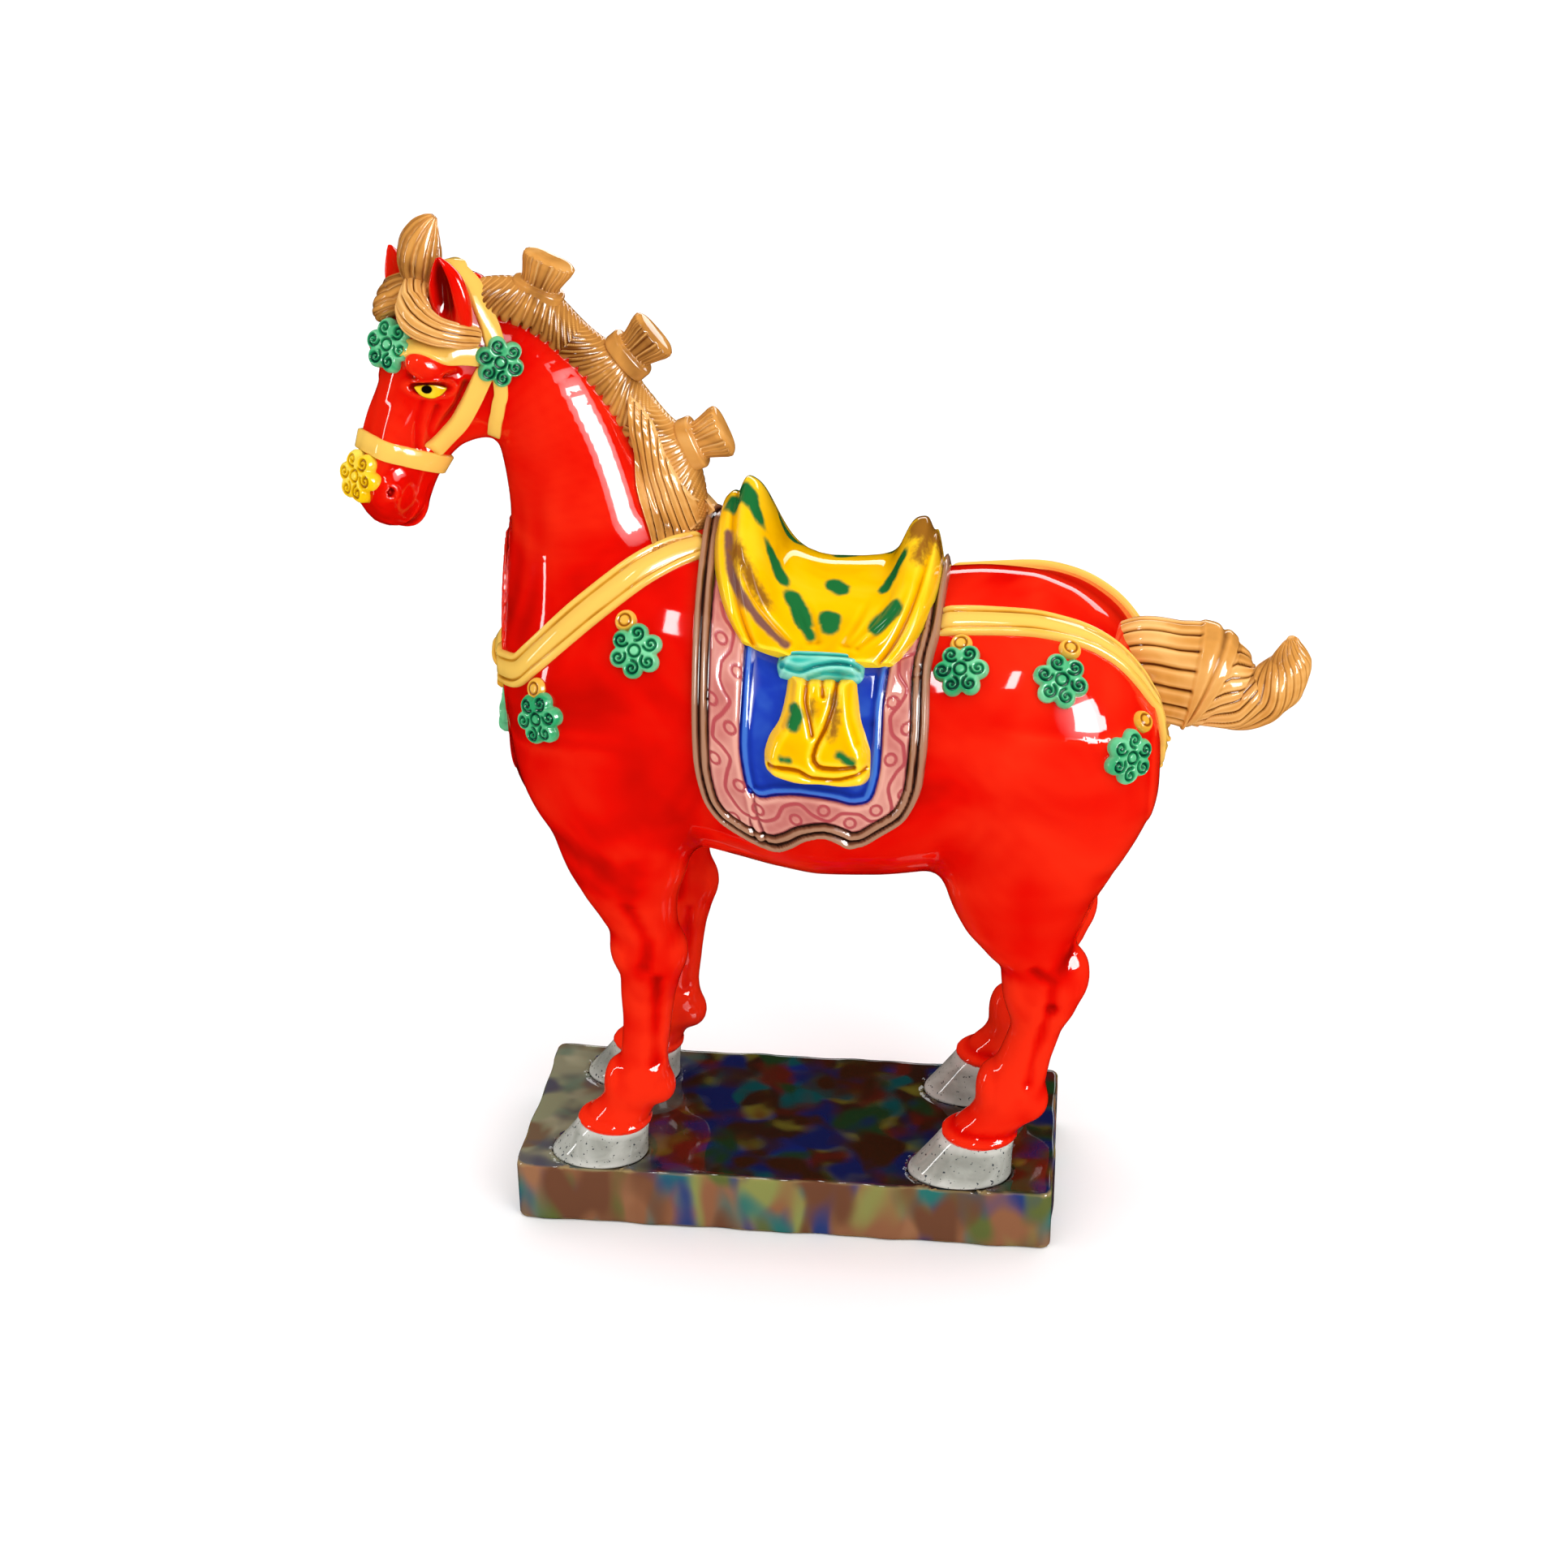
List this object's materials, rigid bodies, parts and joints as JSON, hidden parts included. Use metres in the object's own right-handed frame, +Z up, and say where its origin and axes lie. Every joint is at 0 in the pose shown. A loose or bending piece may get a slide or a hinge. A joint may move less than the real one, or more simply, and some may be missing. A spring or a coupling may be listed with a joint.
{
  "type": "horse figurine",
  "caption": "Glazed earthenware standing horse with saddle, blanket, bridle and tied mane, head turned to its left, on a low rectangular plinth.",
  "frame": {"origin": "centre of the plinth's underside", "axes": "+Z up, -X toward the horse's head, -Y toward the side that its head is turned to"},
  "size_m": [0.2393, 0.09, 0.2703],
  "materials": {
    "horse_glaze": "glossy coloured glaze on earthenware",
    "plinth_glaze": "glossy mottled glaze on earthenware",
    "mane_glaze": "glossy amber glaze over combed locks",
    "strap_glaze": "glossy ochre glaze",
    "rosette_glaze": "glossy green glaze, darker in the recesses",
    "saddle_glaze": "glossy bright yellow glaze with green and brown brush marks",
    "blanket_glaze": "glossy pink glaze with a deep blue panel and a brown rolled border",
    "hoof_glaze": "glossy grey glaze with fine dark specks"
  },
  "bodies": {
    "root": {"horse": "horse_glaze", "plinth": "plinth_glaze"}
  },
  "joints": []
}
